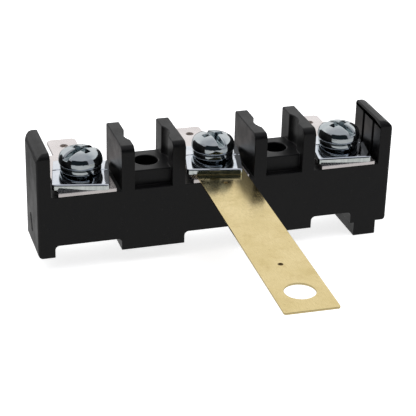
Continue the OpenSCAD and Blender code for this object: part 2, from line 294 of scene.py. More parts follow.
# %% Moulded black
BLACK_TONES, DUST_TONE = ((0.0062, 0.0063, 0.0068), (0.0092, 0.0090, 0.0091)), (0.045, 0.043, 0.041)


def moulding_patterns(tree, shader, place):
    cloud = noise(tree, place, 260, detail=3)
    grain = noise(tree, place, 5200, detail=2, roughness=0.6)
    dust = ramp(tree, noise(tree, place, 1500, detail=1), 0.66, 0.74)
    body = blend_colours(tree, ramp(tree, cloud, 0.35, 0.65), *BLACK_TONES)
    dusty = blend_colours(tree, calc(tree, "MULTIPLY", dust, 0.16), body, DUST_TONE)
    uneven = ramp(tree, cloud, 0.3, 0.7, 0.29, 0.43)
    rough = calc(tree, "ADD", uneven, ramp(tree, grain, 0.3, 0.7, -0.04, 0.04))
    tree.links.new(dusty, shader.inputs["Base Color"])
    tree.links.new(rough, shader.inputs["Roughness"])
    tree.links.new(bump(tree, grain, 0.00002, 0.3), shader.inputs["Normal"])


moulded_black = finish("moulded_black", 0.0, 0.235, moulding_patterns)


# %% Broken black
CRACK_TONES = (0.0022, 0.0022, 0.0024), (0.009, 0.0088, 0.0086)


def broken_patterns(tree, shader, place):
    crumbs = noise(tree, place, 3800, detail=4, roughness=0.7)
    body = blend_colours(tree, ramp(tree, crumbs, 0.35, 0.7), *CRACK_TONES)
    tree.links.new(body, shader.inputs["Base Color"])
    tree.links.new(ramp(tree, crumbs, 0.3, 0.7, 0.75, 0.95), shader.inputs["Roughness"])
    tree.links.new(bump(tree, crumbs, 0.00006, 0.6), shader.inputs["Normal"])


broken_black = finish("broken_black", 0.0, 0.05, broken_patterns)


# %% [markdown]
# ### Zinc plating
# Small plated fasteners are bright, bluish and slightly dented. A mirror finish shows its
# surroundings, so the bump that bends the reflections matters more than the colour. The depth in
# a screw's recess comes from an attribute of its mesh, and the finish paints shade by it: the
# deeper, the darker. The clamp plates are smoother, with fine drawn lines, and their sheared edges
# are duller and streaked; their greener tone is a painted reflection. Marking those edges by hand
# would be slow, so the finish finds them by how steep a face stands.

# %% Bright zinc
# The recess tone is painted shade, laid on by the depth below the dome
ZINC_TONES, RECESS_SHADE_TONE = ((0.55, 0.585, 0.60), (0.44, 0.495, 0.52)), (0.10, 0.165, 0.185)


def zinc_patterns(tree, shader, place):
    cloud = noise(tree, place, 420, detail=3)
    dents = noise(tree, place, 900, detail=2)
    fine = noise(tree, place, 6000, detail=2, roughness=0.6)
    plated = blend_colours(tree, ramp(tree, cloud, 0.35, 0.68), *ZINC_TONES)
    recess = node(tree, "ShaderNodeAttribute", attribute_name="recess").outputs["Fac"]
    # Painted shade: the deeper a point lies in the slot or the cross, the darker it is
    tint = blend_colours(tree, ramp(tree, recess, 0.3, 1.3, 0.0, 0.5), plated, RECESS_SHADE_TONE)
    uneven = ramp(tree, cloud, 0.3, 0.7, 0.06, 0.11)
    rough = calc(tree, "ADD", uneven, ramp(tree, fine, 0.35, 0.65, -0.02, 0.02))
    tree.links.new(tint, shader.inputs["Base Color"])
    tree.links.new(rough, shader.inputs["Roughness"])
    wavy = bump(tree, dents, 0.00006, 0.55)
    tree.links.new(bump(tree, fine, 0.000006, 0.3, wavy), shader.inputs["Normal"])


bright_zinc = finish("bright_zinc", 1.0, 0.5, zinc_patterns)


# %% Clamp zinc
CLAMP_TONES = (0.76, 0.79, 0.84), (0.65, 0.70, 0.77)
# Steep cut faces: really duller and streaked, and greener than the tops as a painted reflection
CUT_AND_MIRROR_TONES = (0.76, 0.80, 0.78), (0.62, 0.67, 0.65)


def clamp_patterns(tree, shader, place):
    cloud = noise(tree, place, 300, detail=3)
    drawn = noise(tree, place, 500, detail=3, stretch=(1, 12, 1))
    fine = noise(tree, place, 5000, detail=2, roughness=0.6)
    streaks = noise(tree, place, 1500, detail=2, stretch=(1, 1, 0.15))
    outward = node(tree, "ShaderNodeNewGeometry").outputs["True Normal"]
    flatness = calc(tree, "ABSOLUTE", node(tree, "ShaderNodeSeparateXYZ", {0: outward}).outputs["Z"])
    steep_faces = ramp(tree, flatness, 0.45, 0.2)
    plated = blend_colours(tree, ramp(tree, cloud, 0.35, 0.68), *CLAMP_TONES)
    # Painted reflection: steep faces take a greener tone than the bluish tops; their streaks are real
    cut_and_mirror_tone = blend_colours(tree, ramp(tree, streaks, 0.35, 0.65), *CUT_AND_MIRROR_TONES)
    tint = blend_colours(tree, steep_faces, plated, cut_and_mirror_tone)
    uneven = ramp(tree, cloud, 0.3, 0.7, 0.06, 0.1)
    smooth = calc(tree, "ADD", uneven, ramp(tree, drawn, 0.35, 0.65, -0.02, 0.03))
    duller = calc(tree, "MULTIPLY", steep_faces, ramp(tree, streaks, 0.3, 0.7, 0.02, 0.12))
    rough = calc(tree, "ADD", smooth, duller)
    tree.links.new(tint, shader.inputs["Base Color"])
    tree.links.new(rough, shader.inputs["Roughness"])
    wavy = bump(tree, cloud, 0.00008, 0.3)
    tree.links.new(bump(tree, fine, 0.000006, 0.3, wavy), shader.inputs["Normal"])


clamp_zinc = finish("clamp_zinc", 1.0, 0.5, clamp_patterns)


# %% [markdown]
# ### Tinned sheet
# Tin on rolled sheet is pale and satin, and warmer than zinc. The lines of rolling run from front
# to rear, so the pattern is stretched that way. The punch tears the wall of the tab's hole, and
# a dull tone close around the hole's axis shows that without a second material.

# %% Satin tin
TIN_TONES, TORN_TONE = ((0.81, 0.76, 0.75), (0.74, 0.69, 0.68)), (0.52, 0.45, 0.40)
# The tab's hole in mm: distance from the tab's end, and the rim between torn and plated metal
TAB_HOLE_INSET, TORN_R, PLATED_R = 3.7, 0.86, 0.9


def near(tree, place, spot_m, inner, outer):
    flat = node(tree, "ShaderNodeVectorMath", {0: place, 1: (1, 1, 0)}, operation="MULTIPLY").outputs[0]
    away = node(tree, "ShaderNodeVectorMath", {0: flat, 1: spot_m}, operation="DISTANCE").outputs["Value"]
    return ramp(tree, away, outer * MM, inner * MM)


def pierced(tree, place):
    torn = 0.0
    for side in SIDES:
        low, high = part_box(f"terminal_plate_{side}")
        hole = ((low.x + high.x) / 2, high.y - TAB_HOLE_INSET * MM, 0.0)
        torn = calc(tree, "MAXIMUM", torn, near(tree, place, hole, TORN_R, PLATED_R))
    return torn


def tin_patterns(tree, shader, place):
    cloud = noise(tree, place, 240, detail=4)
    rolled = noise(tree, place, 700, detail=3, stretch=(6, 0.5, 1))
    fine = noise(tree, place, 4200, detail=2, roughness=0.65)
    tint = blend_colours(tree, ramp(tree, cloud, 0.35, 0.68), *TIN_TONES)
    uneven = ramp(tree, cloud, 0.3, 0.7, 0.22, 0.3)
    rough = calc(tree, "ADD", uneven, ramp(tree, rolled, 0.35, 0.65, -0.03, 0.04))
    torn = pierced(tree, place)
    worn = blend_colours(tree, torn, tint, TORN_TONE)
    tree.links.new(worn, shader.inputs["Base Color"])
    tree.links.new(calc(tree, "ADD", rough, calc(tree, "MULTIPLY", torn, 0.4)), shader.inputs["Roughness"])
    tree.links.new(calc(tree, "SUBTRACT", 1.0, calc(tree, "MULTIPLY", torn, 0.85)), shader.inputs["Metallic"])
    lines = bump(tree, rolled, 0.000004, 0.2)
    tree.links.new(bump(tree, fine, 0.000003, 0.1, lines), shader.inputs["Normal"])


satin_tin = finish("satin_tin", 1.0, 0.5, tin_patterns)


# %% [markdown]
# ### Mill-finish brass
# The strap is brass sheet as it comes from the mill: yellow, brushed along its length, mottled
# and a little stained. One strong pattern would look printed, so several weak ones lie over each
# other. Painted shade darkens each of the two dimples.

# %% Mill brass
BRASS_TONES = (0.83, 0.68, 0.355), (0.73, 0.585, 0.27)
GRAIN_TONE, STAIN_TONE, SPECK_TONE = (0.64, 0.50, 0.225), (0.56, 0.41, 0.16), (0.42, 0.29, 0.12)
# The dimple tone is painted shade in the strap's two dimples
DIMPLE_SHADE_TONE = (0.17, 0.105, 0.035)
STRAP_TURN = math.radians(-1.55)
# Distance of each dimple from the screw in mm, and how dark its painted shade is
DIMPLES = {10.25: 0.55, 46.3: 0.95}
DIMPLE_SHADE_INNER, DIMPLE_SHADE_OUTER = 0.42, 0.64
STRAP_FOOT = (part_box("terminal_plate_centre")[0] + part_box("terminal_plate_centre")[1]) / 2


def brass_patterns(tree, shader, place):
    mottle = noise(tree, place, 190, detail=4, roughness=0.6)
    brushed = noise(tree, place, 900, detail=3, stretch=(6, 0.35, 1))
    specks = ramp(tree, noise(tree, place, 1300, detail=2), 0.68, 0.76)
    fine = noise(tree, place, 4500, detail=2, roughness=0.6)
    stains = ramp(tree, noise(tree, place, 420, detail=5, roughness=0.65), 0.54, 0.72, 0.0, 0.4)
    grain = noise(tree, place, 2300, detail=2, roughness=0.6, stretch=(1.6, 0.35, 1))
    body = blend_colours(tree, ramp(tree, mottle, 0.35, 0.7), *BRASS_TONES)
    body = blend_colours(tree, ramp(tree, grain, 0.35, 0.7, 0.0, 0.35), body, GRAIN_TONE)
    body = blend_colours(tree, stains, body, STAIN_TONE)
    spotted = blend_colours(tree, calc(tree, "MULTIPLY", specks, 0.35), body, SPECK_TONE)
    # Painted shade in each dimple, darkest in its middle
    for along, dark in DIMPLES.items():
        spot = (STRAP_FOOT.x + along * math.sin(STRAP_TURN) * MM, -along * math.cos(STRAP_TURN) * MM, 0.0)
        dimple_shade = calc(tree, "MULTIPLY", near(tree, place, spot, DIMPLE_SHADE_INNER, DIMPLE_SHADE_OUTER), dark)
        spotted = blend_colours(tree, dimple_shade, spotted, DIMPLE_SHADE_TONE)
    uneven = ramp(tree, mottle, 0.3, 0.7, 0.15, 0.2)
    rough = calc(tree, "ADD", uneven, ramp(tree, brushed, 0.35, 0.65, -0.02, 0.03))
    tree.links.new(spotted, shader.inputs["Base Color"])
    tree.links.new(rough, shader.inputs["Roughness"])
    lines = bump(tree, brushed, 0.00001, 0.2)
    tree.links.new(bump(tree, fine, 0.000006, 0.3, lines), shader.inputs["Normal"])


mill_brass = finish("mill_brass", 1.0, 0.5, brass_patterns)
print("finishes:", [m.name for m in bpy.data.materials])

# %% [markdown]
# ## Soft edges on the flat pieces
# The housing, the plates and the strap already have the right form in CAD, but every edge is
# knife sharp there. A real moulding or stamping has a small radius that catches the light.
# Each of these pieces is a welded copy of its CAD solid: the loose triangles are joined, flat
# faces are dissolved into one, the sharp edges are bevelled, and weighted normals keep the
# broad faces flat. The copy stays in place, and replaces the solid in the picture.


# %% Pieces and shading
def link(name, mesh):
    made = bpy.data.objects.new(name, mesh)
    bpy.context.scene.collection.objects.link(made)
    return made


def plain(piece, name):
    ready = piece.evaluated_get(bpy.context.evaluated_depsgraph_get())
    mesh = bpy.data.meshes.new_from_object(ready)
    mesh.name = name
    bpy.data.objects.remove(piece)
    return link(name, mesh)


def even_shading(piece):
    piece.data.polygons.foreach_set("use_smooth", [True] * len(piece.data.polygons))
    even = piece.modifiers.new("even", "WEIGHTED_NORMAL")
    even.mode, even.weight, even.keep_sharp = "FACE_AREA", 60, True


# %% Edge softening
# Closer points become one, flatter faces become one, and sharper edges are softened
WELD_MM, FLAT, FOLD = 0.001, math.radians(0.5), math.radians(30)


def welded(cad_name):
    body = bmesh.new()
    body.from_mesh(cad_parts[cad_name].data)
    body.transform(Matrix.Scale(1 / MM, 4))
    bmesh.ops.remove_doubles(body, verts=body.verts[:], dist=WELD_MM)
    bmesh.ops.dissolve_limit(body, angle_limit=FLAT, verts=body.verts[:], edges=body.edges[:])
    return body


def softened(body, name, width, colour, steps=2):
    weight = body.edges.layers.float.new("bevel_weight_edge")
    sharp = [e for e in body.edges if e.is_manifold and e.calc_face_angle() > FOLD]
    widths = {e: width(e) if callable(width) else width for e in sharp}
    widest = max(widths.values())
    for edge, its_width in widths.items():
        edge[weight] = its_width / widest
    mesh = bpy.data.meshes.new(name)
    body.to_mesh(mesh)
    body.free()
    mesh.materials.append(colour)
    piece = link(name, mesh)
    soft = piece.modifiers.new("soft_edges", "BEVEL")
    soft.limit_method, soft.width, soft.segments = "WEIGHT", widest, steps
    soft.use_clamp_overlap = False
    even_shading(piece)
    piece = plain(piece, name)
    piece.data.transform(Matrix.Scale(MM, 4))
    print(name, "edges softened:", sum(w > 0 for w in widths.values()), "faces:", len(piece.data.polygons))
    return piece


def belongs(piece, body, slot, *cad_names):
    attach(piece, body)
    if cad_names:
        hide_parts(*cad_names)


# %% Housing
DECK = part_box("terminal_plate_centre")[0].z / MM
# Radii in mm: along the walls' tops, on their upright edges, and everywhere else
TOP_R, UPRIGHT_R, SMALL_R = 0.26, 0.16, 0.12
# The grooves in the right end wall are narrow and shallow, and keep the small radius
GROOVE_X, GROOVE_HALF_Y, GROOVE_TOP = (35, 36), 4, 22.5
DECK_MARGIN, SHORTEST, MOSTLY = 0.1, 0.02, 0.9


def moulding_radius(edge):
    middle = (edge.verts[0].co + edge.verts[1].co) / 2
    run = edge.verts[1].co - edge.verts[0].co
    vertical = abs(run.z) > MOSTLY * run.length
    on_groove_wall = GROOVE_X[0] < middle.x < GROOVE_X[1] and abs(middle.y) < GROOVE_HALF_Y
    in_groove = on_groove_wall and middle.z < GROOVE_TOP
    if middle.z > DECK + DECK_MARGIN and edge.is_convex and run.length > SHORTEST and not in_groove:
        return UPRIGHT_R if vertical else TOP_R
    return SMALL_R


housing = softened(welded("housing"), "moulded_housing", moulding_radius, moulded_black, steps=3)
belongs(housing, "block", "moulded_body", "housing")

# %% [markdown]
# ## Gate mark
# The moulding was filled through the left end, low in the wall. Where the runner was broken off,
# a low oval pad with a rough, dark crack stays. The pad is a few rings of points on ovals that
# rise to a rim and sink to a slit, and it sits on the end face.

# %% Gate mark
# Sizes in mm. A ring has a half width, a half height and a distance out from the end face
GATE_Y, GATE_Z, GATE_LEAN, GATE_POINTS = 0.9, 5.1, 0.4, 40
PAD_RINGS = [(0.75, 1.9, -0.05), (0.72, 1.87, 0.03), (0.6, 1.75, 0.1), (0.4, 1.6, 0.11), (0.25, 1.5, 0.07)]
CRACK_RINGS = [(0.27, 1.52, 0.05), (0.26, 1.5, 0.085), (0.12, 1.3, 0.04)]


def oval_mark(name, rings, colour):
    body = bmesh.new()
    left_face = cad_low.x / MM
    ovals = []
    angles = [2 * math.pi * i / GATE_POINTS for i in range(GATE_POINTS)]
    for half_y, half_z, out in rings:
        lean_y = GATE_LEAN * half_z
        ys = [half_y * math.cos(a) + lean_y * math.sin(a) for a in angles]
        spots = [(y, half_z * math.sin(a)) for y, a in zip(ys, angles)]
        ovals.append([body.verts.new((left_face - out, GATE_Y + y, GATE_Z + z)) for y, z in spots])
    for outer, inner in zip(ovals, ovals[1:]):
        for a, b, c, d in zip(outer, outer[1:] + outer[:1], inner[1:] + inner[:1], inner):
            body.faces.new((a, b, c, d))
    body.faces.new(ovals[-1])
    body.faces.new(ovals[0][::-1])
    bmesh.ops.recalc_face_normals(body, faces=body.faces[:])
    body.transform(Matrix.Scale(MM, 4))
    mesh = bpy.data.meshes.new(name)
    body.to_mesh(mesh)
    body.free()
    mesh.materials.append(colour)
    mesh.polygons.foreach_set("use_smooth", [True] * len(mesh.polygons))
    mark = link(name, mesh)
    belongs(mark, "block", "moulded_body")
    print(name, "faces:", len(mesh.polygons))


oval_mark("gate_pad", PAD_RINGS, moulded_black)
oval_mark("gate_crack", CRACK_RINGS, broken_black)

# %% [markdown]
# ## Plates, strap and nuts
# The terminal plates are stamped with their tabs in one piece, the strap is a length of sheet, and
# the nuts sit out of sight in their pockets. They could be drawn afresh, but the CAD solids
# already have the outlines and the holes, so the same softening does. Sheet gets a very small
# radius, and the nuts a wider one.

# %% Terminal plates
PLATE_EDGE = 0.1
for side in SIDES:
    cad_name = f"terminal_plate_{side}"
    plate = softened(welded(cad_name), f"tinned_plate_{side}", PLATE_EDGE, satin_tin)
    belongs(plate, "block", "tinned_terminal", cad_name)

# %% Ground strap
STRAP_EDGE = 0.06
strap = softened(welded("ground_strap"), "brass_ground_strap", STRAP_EDGE, mill_brass)
belongs(strap, "block", "brass_strap", "ground_strap")

# %% Nuts
NUT_EDGE = 0.25
for side in SIDES:
    cad_name = f"square_nut_{side}"
    nut = softened(welded(cad_name), f"zinc_nut_{side}", NUT_EDGE, bright_zinc)
    belongs(nut, "block", "zinc_hardware", cad_name)

# %% [markdown]
# ## Clamp plates
# A clamp plate is sheared from strip and bent in the middle. Shearing rolls the upper edge over
# at the front and the rear and draws the sides down a little, and the bending tool leaves a
# sharp crease along the ridge. The crease is cut into the flat top of the bend and pressed
# down, so that it is a real groove, and the sides are cut and lowered in the same way. The
# centre plate keeps a small nib at the front, where the strip was parted.

# %% Clamp shaping
# Sizes in mm. A slope is a fall for each mm outwards
CLAMP_HALF_W, CLAMP_L, EDGE_H = 5.8, 12.4, 1.26
CREASE_DEPTH, ROLLOVER, BURR = 0.25, 0.36, 0.12
DRAWN_W, DRAWN_STEP, DRAWN_START, DRAWN_SLOPE = 1.15, 0.15, 0.1, 0.1
NIB_W, NIB_OUT, NIB_H, NIB_SUNK, NIB_BELOW, NIB_EDGE = 2.2, 0.6, 0.4, 0.3, 0.04, 0.06
# Upward share of a face's normal: on a level face, on the sheet's two skins, on its cut walls
LEVEL, SKIN, WALL = 0.999, 0.9, 0.5
ON_PLANE = 0.0001


def cut_through(body, parts, place, across):
    made = bmesh.ops.bisect_plane(body, geom=parts, dist=ON_PLANE, plane_co=place, plane_no=across)
    return made["geom_cut"]


def press_crease(body, middle, along):
    strips = [f for f in body.faces if f.normal.z > LEVEL]
    flat = {part for f in strips for part in (f, *f.edges, *f.verts)}
    made = cut_through(body, list(flat), middle, along)
    bottom = [part for part in made if isinstance(part, bmesh.types.BMVert)]
    slopes = {f for v in bottom for f in v.link_faces if f.normal.z > LEVEL}
    for v in bottom:
        v.co.z -= CREASE_DEPTH
    for edge in {e for f in slopes for e in f.edges}:
        edge.smooth = False


def draw_sides(body, middle, across):
    for flank in (across, -across):
        for inset in (DRAWN_W, DRAWN_W - DRAWN_STEP):
            everything = body.verts[:] + body.edges[:] + body.faces[:]
            cut_through(body, everything, middle + flank * (CLAMP_HALF_W - inset), flank)
        for v in {v for f in body.faces if f.normal.z > SKIN for v in f.verts}:
            past = (v.co - middle).dot(flank) - (CLAMP_HALF_W - DRAWN_W + DRAWN_START)
            v.co.z -= DRAWN_SLOPE * max(past, 0.0)


def front_nib(base, middle, forward, across):
    body = bmesh.new()
    bmesh.ops.create_cube(body, size=1.0)
    body.transform(Matrix.Diagonal((NIB_W, NIB_OUT, NIB_H, 1)))
    body.transform(Matrix((across, forward, (0, 0, 1))).transposed().to_4x4())
    front = middle - forward * (CLAMP_L / 2 + NIB_OUT / 2 - NIB_SUNK)
    body.transform(Matrix.Translation((front.x, front.y, base + EDGE_H - NIB_H / 2 - NIB_BELOW)))
    return body


def sheet_radius(edge, forward):
    walls = [f for f in edge.link_faces if abs(f.normal.z) < WALL]
    skins = [f for f in edge.link_faces if abs(f.normal.z) > SKIN]
    if len(walls) != 1 or len(skins) != 1:
        return 0.0
    if skins[0].normal.z < 0:
        return BURR
    return BURR + (ROLLOVER - BURR) * walls[0].normal.dot(forward) ** 4


# %% Clamp plates
# Turn of each plate on its screw, in degrees
CLAMP_TURN = {"left": -12.5, "centre": -12.5, "right": -6.5}
for side in SIDES:
    cad_name = f"clamp_plate_{side}"
    angle = math.radians(CLAMP_TURN[side])
    forward = Vector((-math.sin(angle), math.cos(angle), 0.0))
    across = Vector((math.cos(angle), math.sin(angle), 0.0))
    low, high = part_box(cad_name)
    middle = (low + high) / 2 / MM
    body = welded(cad_name)
    press_crease(body, middle, forward)
    draw_sides(body, middle, across)
    radius = partial(sheet_radius, forward=forward)
    clamp = softened(body, f"zinc_clamp_{side}", radius, clamp_zinc, steps=4)
    belongs(clamp, f"clamp_{side}", "zinc_clamp", cad_name)
    if side == "centre":
        block = front_nib(low.z / MM, middle, forward, across)
        nib = softened(block, "parting_nib", NIB_EDGE, clamp_zinc)
        belongs(nib, "clamp_centre", "zinc_clamp")

# %% [markdown]
# ## Lock washers
# A split lock washer is a square wire wound into one turn and cut off at a slant. That is a
# profile swept along a path, so Geometry Nodes make it: an arc that stops short of a full
# turn and climbs a little, a rounded section swept along it with closed ends, and a twist that
# leans the two cut faces. The three washers share one tree and differ in their place alone.


# %% Geometry Nodes helpers
def new_tree(name, inputs, output):
    tree = bpy.data.node_groups.new(name, "GeometryNodeTree")
    for label, kind in inputs.items():
        tree.interface.new_socket(label, in_out="INPUT", socket_type="NodeSocket" + kind)
    tree.interface.new_socket(output, in_out="OUTPUT", socket_type="NodeSocketGeometry")
    return tree, node(tree, "NodeGroupInput").outputs


def end_tree(tree, shape, size):
    spin = node(tree, "ShaderNodeCombineXYZ", {"Z": size["Turn"]})
    placed = node(
        tree,
        "GeometryNodeTransform",
        {"Geometry": shape, "Translation": size["Station"], "Rotation": spin.outputs[0]},
    )
    real = node(tree, "GeometryNodeRealizeInstances", {"Geometry": placed.outputs[0]})
    coated = node(tree, "GeometryNodeSetMaterial", {"Geometry": real.outputs[0], "Material": size["Finish"]})
    node(tree, "NodeGroupOutput", {0: coated.outputs[0]})


def grown(tree, name, mesh, values):
    piece = link(name + "_seed", mesh)
    grow = piece.modifiers.new("grow", "NODES")
    grow.node_group = tree
    for item in tree.interface.items_tree:
        if item.in_out == "INPUT" and item.name in values:
            grow[item.identifier] = values[item.name]
    piece = plain(piece, name)
    print(name, "faces:", len(piece.data.polygons))
    return piece


# %% Lock washer tree: path
WASHER_STEPS = 128
washer_tree, size = new_tree(
    "split_lock_washer",
    {
        "Inner Radius": "Float",
        "Outer Radius": "Float",
        "Thickness": "Float",
        "Edge": "Float",
        "Gap": "Float",
        "Rise": "Float",
        "Slant": "Float",
        "Turn": "Float",
        "Station": "Vector",
        "Finish": "Material",
    },
    "Washer",
)
both_radii = calc(washer_tree, "ADD", size["Inner Radius"], size["Outer Radius"])
middle = calc(washer_tree, "MULTIPLY", both_radii, 0.5)
arc = node(
    washer_tree,
    "GeometryNodeCurveArc",
    {
        "Resolution": WASHER_STEPS,
        "Radius": middle,
        "Start Angle": calc(washer_tree, "MULTIPLY", size["Gap"], 0.5),
        "Sweep Angle": calc(washer_tree, "SUBTRACT", 2 * math.pi, size["Gap"]),
    },
)
share = calc(washer_tree, "SUBTRACT", node(washer_tree, "GeometryNodeSplineParameter").outputs["Factor"], 0.5)
lift = node(washer_tree, "ShaderNodeCombineXYZ", {"Z": calc(washer_tree, "MULTIPLY", share, size["Rise"])})
wound = node(washer_tree, "GeometryNodeSetPosition", {"Geometry": arc.outputs[0], "Offset": lift.outputs[0]})
held = node(washer_tree, "GeometryNodeSetCurveNormal", {"Curve": wound.outputs[0]}, mode="Z_UP")
print("washer inputs:", [socket.name for socket in size if socket.name])

# %% Lock washer tree: section and sweep
ROUNDING_STEPS = 4
breadth = calc(washer_tree, "SUBTRACT", size["Outer Radius"], size["Inner Radius"])
wire = node(
    washer_tree,
    "GeometryNodeCurvePrimitiveQuadrilateral",
    {"Width": breadth, "Height": size["Thickness"]},
)
rounded = node(
    washer_tree,
    "GeometryNodeFilletCurve",
    {"Curve": wire.outputs[0], "Count": ROUNDING_STEPS, "Radius": size["Edge"]},
    mode="POLY",
)
swept = node(
    washer_tree,
    "GeometryNodeCurveToMesh",
    {"Curve": held.outputs[0], "Profile Curve": rounded.outputs[0], "Fill Caps": True},
)
point = node(washer_tree, "GeometryNodeInputPosition").outputs[0]
height = node(washer_tree, "ShaderNodeSeparateXYZ", {0: point}).outputs["Z"]
leaning = calc(washer_tree, "DIVIDE", calc(washer_tree, "MULTIPLY", height, size["Slant"]), middle)
twisted = node(
    washer_tree, "ShaderNodeVectorRotate", {"Vector": point, "Angle": leaning}, rotation_type="Z_AXIS"
)
slanted = node(
    washer_tree, "GeometryNodeSetPosition", {"Geometry": swept.outputs[0], "Position": twisted.outputs[0]}
)
end_tree(washer_tree, slanted.outputs[0], size)
print("washer tree nodes:", len(washer_tree.nodes))

# %% Lock washers
# Sizes in mm, angles in degrees
WASHER_IN_R, WASHER_OUT_R, WASHER_EDGE = 2.65, 4.25, 0.42
WASHER_SPLIT, WASHER_RISE, WASHER_SLANT, WASHER_TURN = 0.7, 0.12, 25, 285
# The wire is thinner than the flat CAD washer, so that its climb stays inside
WASHER_THINNER = 0.14
for side in SIDES:
    low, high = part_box(f"lock_washer_{side}")
    washer = grown(
        washer_tree,
        f"split_washer_{side}",
        bpy.data.meshes.new("washer_seed"),
        {
            "Inner Radius": WASHER_IN_R * MM,
            "Outer Radius": WASHER_OUT_R * MM,
            "Thickness": high.z - low.z - WASHER_THINNER * MM,
            "Edge": WASHER_EDGE * MM,
            "Gap": WASHER_SPLIT / ((WASHER_IN_R + WASHER_OUT_R) / 2),
            "Rise": WASHER_RISE * MM,
            "Slant": -math.tan(math.radians(WASHER_SLANT)),
            "Turn": math.radians(WASHER_TURN),
            "Station": (low + high) / 2,
            "Finish": bright_zinc,
        },
    )
    even_shading(washer)
    washer = plain(washer, f"split_washer_{side}")
    belongs(washer, f"clamp_{side}", "zinc_hardware", f"lock_washer_{side}")

# %% [markdown]
# ## Terminal screws
# The pan head has a screwdriver slot right across it and a cross recess in the middle. A
# Boolean cut would leave ragged triangles that show in a mirror finish. Here the top of the
# head is a height over a grid instead: the grid lines crowd along the slot's edges, the outer
# ones bend into the round rim, and each point's height is the lower of the dome and the recess,
# with a soft step between them and a small chamfer along the slot. Each point keeps its depth
# below the dome, and the finish uses it: little plating and little light reach the bottom.

# %% Head shape
# Sizes in mm
HEAD_R, HEAD_H, EDGE_R, DOME_R = 4.55, 3.4, 2.6, 9.0
SLOT_W, SLOT_DEPTH, CROSS_SPAN, CROSS_DEPTH = 1.2, 1.6, 5.0, 2.2
LIP_W, LIP_DEPTH = 0.24, 0.45
# Rise of the recess's walls for each mm outwards, and how far the cross is narrower at its floor
SLOT_WALL, CROSS_END, CROSS_WALL, CROSS_TAPER = 14, 2.2, 9, 0.1
DOME_BLEND, RECESS_BLEND = 0.35, 0.12


def soft_min(a, b, softness):
    shared = max(softness - abs(a - b), 0.0)
    return min(a, b) - shared * shared / (4 * softness)


def dome_height(r):
    cap = HEAD_H - DOME_R + math.sqrt(DOME_R**2 - r**2)
    edge = HEAD_H - EDGE_R + math.sqrt(max(EDGE_R**2 - max(r - HEAD_R + EDGE_R, 0.0) ** 2, 0.0))
    return soft_min(cap, edge, DOME_BLEND)


def recess_height(x, y, dome):
    slot_floor = HEAD_H - SLOT_DEPTH
    past = max(abs(y) - SLOT_W / 2, 0.0)
    lip = dome + min(LIP_DEPTH, max(dome - slot_floor, 0.0)) * (past / LIP_W - 1)
    floors = [min(slot_floor + SLOT_WALL * past, lip) if past else slot_floor]
    for along, across in ((abs(x), abs(y)), (abs(y), abs(x))):
        end = CROSS_END * max(along - CROSS_SPAN / 2 + CROSS_DEPTH / CROSS_END, 0.0)
        wall = CROSS_WALL * max(across - SLOT_W / 2 + CROSS_TAPER, 0.0)
        floors.append(HEAD_H - CROSS_DEPTH + max(end, wall))
    return min(floors)


print("dome height in mm, middle and rim:", round(dome_height(0.0), 2), round(dome_height(HEAD_R), 2))

# %% Head mesh
# Distances of the grid lines from the middle, in mm: they crowd where the surface turns quickly
half_lines = [0.0, 0.25, 0.45, 0.52, 0.57, 0.6, 0.63, 0.655, 0.68, 0.7, 0.72, 0.745, 0.78, 0.84, 0.95, 1.1]
half_lines += [1.25, 1.4, 1.55, 1.7, 1.85, 2.0, 2.12, 2.22, 2.32, 2.42, 2.5, 2.58, 2.7, 2.85, 3.0]
half_lines += [3.2, 3.4, 3.6, 3.8, 3.96, 4.1, 4.2, 4.28, 4.34, 4.39, 4.43, 4.465]
half_lines += [4.495, 4.52, 4.537, 4.546, HEAD_R]
lines = [-v for v in reversed(half_lines[1:])] + half_lines
# Radius and height of the rings under the rim
skirt = [(4.54, 0.62), (4.5, 0.42), (4.43, 0.26), (4.33, 0.13), (4.2, 0.04), (4.05, 0.0), (2.3, 0.0)]
# Where the square grid starts to bend into the round rim, and over what share of the radius
BEND_FROM, BEND_OVER = 0.35, 0.55


def to_disc(u, v):
    reach, ray = max(abs(u), abs(v)), math.hypot(u, v)
    t = min(max((reach / HEAD_R - BEND_FROM) / BEND_OVER, 0.0), 1.0)
    pull = 1 + (reach / ray - 1) * t * t * (3 - 2 * t) if ray else 1.0
    return u * pull, v * pull


def head_mesh():
    body = bmesh.new()
    depth = body.verts.layers.float.new("recess")
    rows = []
    for v in lines:
        row = []
        for x, y in (to_disc(u, v) for u in lines):
            dome = dome_height(math.hypot(x, y))
            row.append(body.verts.new((x, y, soft_min(dome, recess_height(x, y, dome), RECESS_BLEND))))
            row[-1][depth] = dome - row[-1].co.z
        rows.append(row)
    for lower, upper in zip(rows, rows[1:]):
        for a, b, c, d in zip(lower, lower[1:], upper[1:], upper):
            body.faces.new((a, b, c, d))
    rim = rows[0][:-1] + [r[-1] for r in rows[:-1]] + rows[-1][:0:-1] + [r[0] for r in rows[:0:-1]]
    for r, z in skirt:
        ring = [body.verts.new((p.co.x / p.co.xy.length * r, p.co.y / p.co.xy.length * r, z)) for p in rim]
        for a, b, c, d in zip(rim, rim[1:] + rim[:1], ring[1:] + ring[:1], ring):
            body.faces.new((d, c, b, a))
        rim = ring
    body.faces.new(rim[::-1])
    bmesh.ops.recalc_face_normals(body, faces=body.faces[:])
    body.transform(Matrix.Scale(MM, 4))
    mesh = bpy.data.meshes.new("pan_head")
    body.to_mesh(mesh)
    body.free()
    return mesh


print("head grid lines each way:", len(lines), "rings below the rim:", len(skirt))

# %% [markdown]
# ## Screw thread
# Below the head runs the thread, a shape that follows a rule: go once round and the ridge has
# climbed by one pitch. The tree rolls a flat grid into a tube and moves each point in or out by
# its place between two ridges. The first and last rows close on the axis, so that the shank has
# ends. The finished head comes in from the object itself and is joined to the shank.

